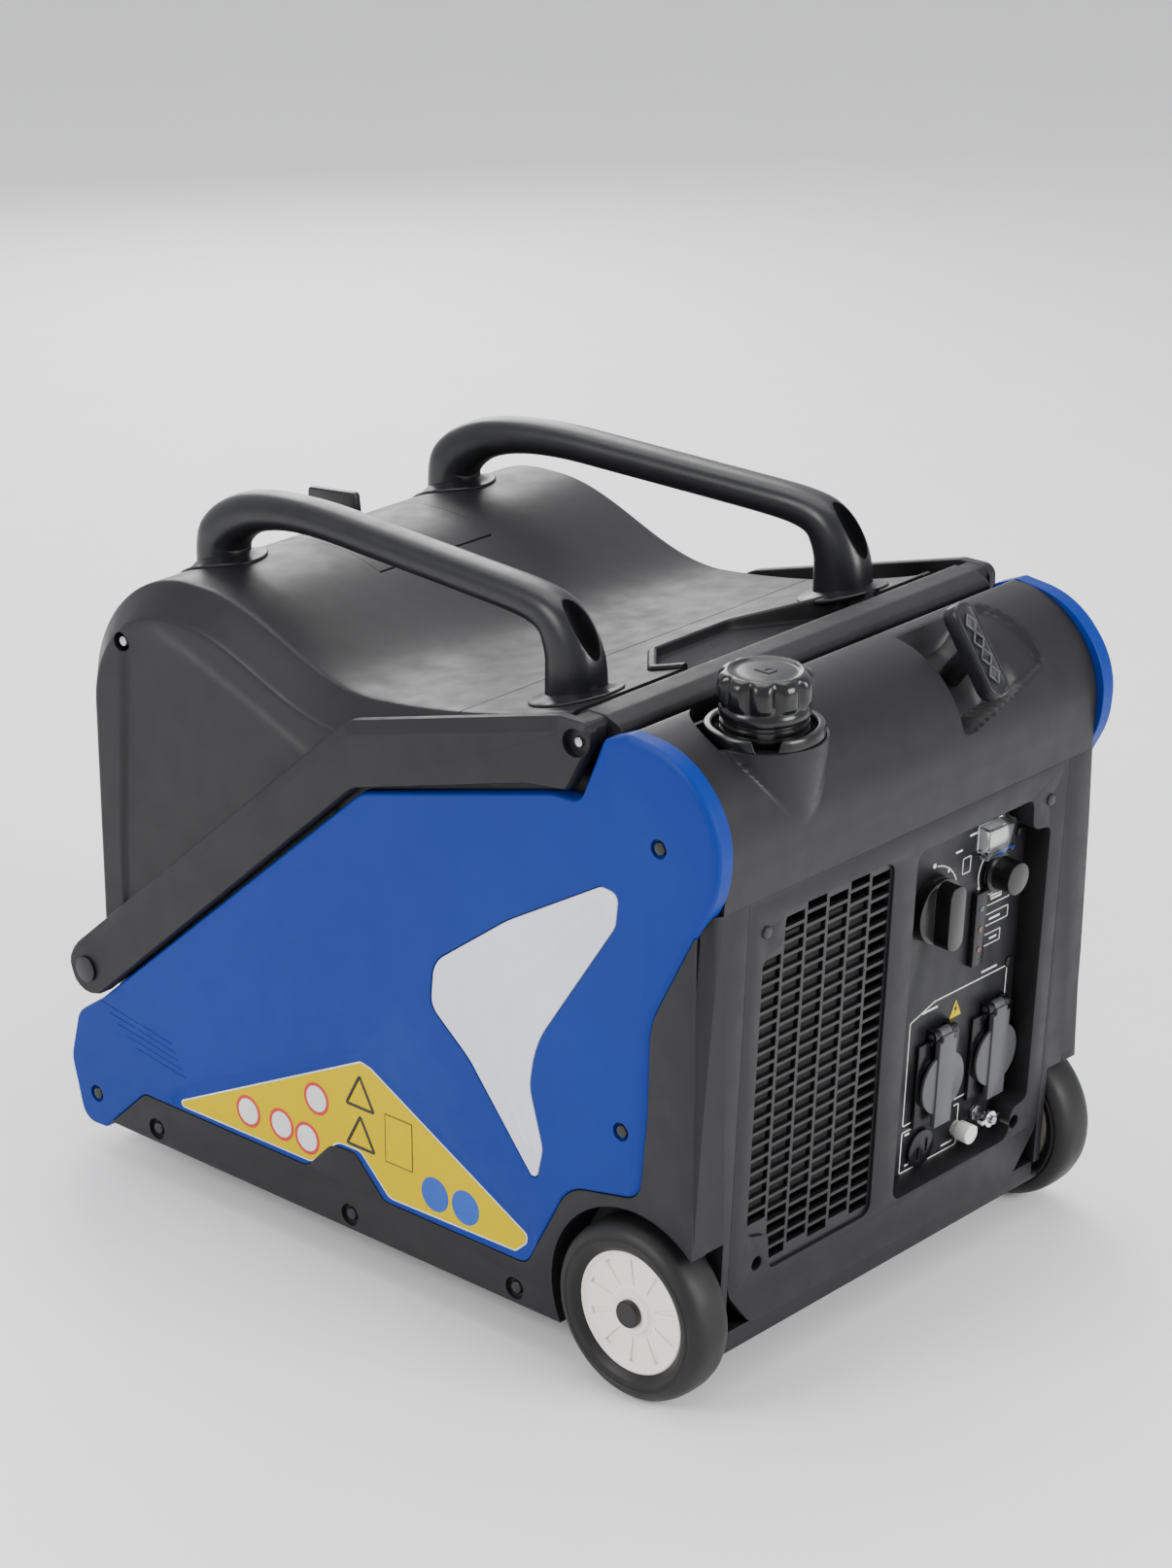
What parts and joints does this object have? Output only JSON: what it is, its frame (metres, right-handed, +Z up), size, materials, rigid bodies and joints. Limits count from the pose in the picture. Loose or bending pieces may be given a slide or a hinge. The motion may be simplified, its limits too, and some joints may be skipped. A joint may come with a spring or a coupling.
{
  "type": "suitcase inverter generator",
  "caption": "Wheeled suitcase inverter generator with folding tow handle, carry handles, control panel, fuel cap and recoil starter.",
  "frame": {"origin": "centre of the bounding box's floor face, on the ground under the machine", "axes": "+Z up, +X towards the control panel and the wheels, -Y is the machine's left side, the side in view"},
  "size_m": [0.6091, 0.423, 0.507],
  "materials": {
    "housing_plastic": "fine grained moulding",
    "grille_plastic": "fine grained moulding",
    "panel_plastic": "satin printed panel",
    "blue_plastic": "semi-gloss moulding",
    "silver_plastic": "satin silver paint",
    "handle_plastic": "satin moulding",
    "gasket_rubber": "matte",
    "foot_rubber": "matte",
    "black_steel": "black zinc",
    "zinc_steel": "bright zinc",
    "tank_plastic": "moulded",
    "clear_cover": "clear moulding",
    "socket_plastic": "semi-gloss",
    "brass_bolt": "machined",
    "cast_alloy": "as cast",
    "bearing_steel": "ground",
    "stator_copper": "varnished windings",
    "heatsink_alloy": "extruded",
    "muffler_steel": "heat stained",
    "plug_ceramic": "glazed ceramic",
    "bracket_steel": "zinc plated",
    "cap_plastic": "semi-gloss",
    "grip_plastic": "satin moulding",
    "rope_fabric": "braided",
    "knob_plastic": "satin moulding",
    "white_plastic": "semi-gloss",
    "chrome_nut": "bright",
    "tyre_rubber": "matte tread",
    "disc_plastic": "off-white moulding"
  },
  "bodies": {
    "housing": {"lower_housing": "housing_plastic", "hood": "housing_plastic", "front_shell": "housing_plastic", "recoil_well": "housing_plastic", "rear_panel": "housing_plastic", "front_bezel": "housing_plastic", "intake_grille": "grille_plastic", "control_panel": "panel_plastic", "left_side_panel": "blue_plastic", "right_side_panel": "blue_plastic", "side_inserts": "silver_plastic", "left_carry_handle": "handle_plastic", "right_carry_handle": "handle_plastic", "handle_gaskets": "gasket_rubber", "rear_feet": "foot_rubber", "black_screws": "black_steel", "zinc_screws": "zinc_steel", "bezel_screws": "zinc_steel", "fuel_collar": "gasket_rubber", "fuel_tank": "tank_plastic", "eco_switch_cover": "clear_cover", "led_strip": "panel_plastic", "ac_sockets": "socket_plastic", "dc_socket": "socket_plastic", "earth_bolt": "brass_bolt", "engine_block": "cast_alloy", "cylinder_head": "cast_alloy", "crank_bearings": "bearing_steel", "stator": "stator_copper", "inverter_module": "heatsink_alloy", "muffler": "muffler_steel", "air_filter_box": "tank_plastic", "carburettor": "cast_alloy", "spark_plug": "plug_ceramic", "engine_mounts": "foot_rubber", "recoil_bracket": "bracket_steel", "wheel_axle": "black_steel", "tow_pivot_pins": "black_steel"},
    "left_wheel": {"left_tyre": "tyre_rubber", "left_wheel_disc": "disc_plastic"},
    "right_wheel": {"right_tyre": "tyre_rubber", "right_wheel_disc": "disc_plastic"},
    "tow_bar": {"tow_handle": "housing_plastic", "tow_handle_screws": "zinc_steel"},
    "crank": {"crankshaft": "bearing_steel", "rotor": "black_steel", "fan": "tank_plastic"},
    "starter_grip": {"recoil_grip": "grip_plastic", "recoil_rope": "rope_fabric"},
    "starter_reel": {"recoil_reel": "tank_plastic"},
    "tank_cap": {"fuel_cap": "cap_plastic"},
    "engine_switch": {"engine_switch_knob": "knob_plastic"},
    "choke": {"choke_knob": "knob_plastic"},
    "eco_switch": {"eco_rocker": "knob_plastic"},
    "left_flap": {"left_socket_flap": "socket_plastic"},
    "right_flap": {"right_socket_flap": "socket_plastic"},
    "breaker": {"breaker_button": "white_plastic"},
    "wing_nut": {"earth_wing_nut": "chrome_nut"},
    "lid": {"service_lid": "housing_plastic"},
    "latch": {"lid_latch": "handle_plastic"}
  },
  "joints": [
    {"name": "left_wheel_roll", "type": "hinge", "parent": "housing", "child": "left_wheel", "pos_m": [0.236, -0.194, 0.062], "axis": [0, 1, 0], "continuous": true},
    {"name": "right_wheel_roll", "type": "hinge", "parent": "housing", "child": "right_wheel", "pos_m": [0.236, 0.194, 0.062], "axis": [0, 1, 0], "continuous": true},
    {"name": "tow_bar_swing", "type": "hinge", "parent": "housing", "child": "tow_bar", "pos_m": [-0.276, 0, 0.148], "axis": [0, -1, 0], "range_deg": [0, 150]},
    {"name": "crank_spin", "type": "hinge", "parent": "housing", "child": "crank", "pos_m": [0, 0.02, 0.165], "axis": [1, 0, 0], "continuous": true},
    {"name": "starter_pull", "type": "slide", "parent": "housing", "child": "starter_grip", "axis": [0.6293, 0, 0.7771], "range_m": [0, 0.16], "stiffness_N_per_m": 60, "springref_m": -0.02},
    {"name": "reel_turn", "type": "hinge", "parent": "housing", "child": "starter_reel", "pos_m": [0.15, 0.02, 0.165], "axis": [1, 0, 0], "range_deg": [-1, 220]},
    {"name": "tank_cap_turn", "type": "hinge", "parent": "housing", "child": "tank_cap", "pos_m": [0.264, -0.116, 0.46], "axis": [0, 0, 1], "continuous": true},
    {"name": "engine_switch_turn", "type": "hinge", "parent": "housing", "child": "engine_switch", "pos_m": [0.2765, 0.049, 0.27175], "axis": [0.9987, 0, -0.0502], "range_deg": [0, 90]},
    {"name": "choke_turn", "type": "hinge", "parent": "housing", "child": "choke", "pos_m": [0.27675, 0.118, 0.27675], "axis": [0.9987, 0, -0.0502], "range_deg": [0, 90]},
    {"name": "eco_rock", "type": "hinge", "parent": "housing", "child": "eco_switch", "pos_m": [0.26917, 0.11, 0.30521], "axis": [0, 1, 0], "range_deg": [-8, 8]},
    {"name": "left_flap_lift", "type": "hinge", "parent": "housing", "child": "left_flap", "pos_m": [0.27166, 0.067, 0.1757], "axis": [0, -1, 0], "range_deg": [0, 110], "stiffness_Nm_per_rad": 0.02, "springref_deg": -17.19},
    {"name": "right_flap_lift", "type": "hinge", "parent": "housing", "child": "right_flap", "pos_m": [0.27166, 0.126, 0.1757], "axis": [0, -1, 0], "range_deg": [0, 110], "stiffness_Nm_per_rad": 0.02, "springref_deg": -17.19},
    {"name": "breaker_press", "type": "slide", "parent": "housing", "child": "breaker", "axis": [-0.9987, 0, 0.0502], "range_m": [0, 0.003], "stiffness_N_per_m": 400, "springref_m": -0.001},
    {"name": "wing_nut_turn", "type": "hinge", "parent": "housing", "child": "wing_nut", "pos_m": [0.27259, 0.117, 0.0945], "axis": [0.9987, 0, -0.0502], "continuous": true},
    {"name": "lid_open", "type": "hinge", "parent": "housing", "child": "lid", "pos_m": [-0.1299, 0, 0.438], "axis": [0, 1, 0], "range_deg": [0, 100]},
    {"name": "latch_turn", "type": "hinge", "parent": "lid", "child": "latch", "pos_m": [-0.229, 0, 0.443], "axis": [0, 0, 1], "range_deg": [0, 90]}
  ],
  "couplings": [
    {"joint": "reel_turn", "follows": "starter_pull", "rad_per_m": 20.833}
  ]
}
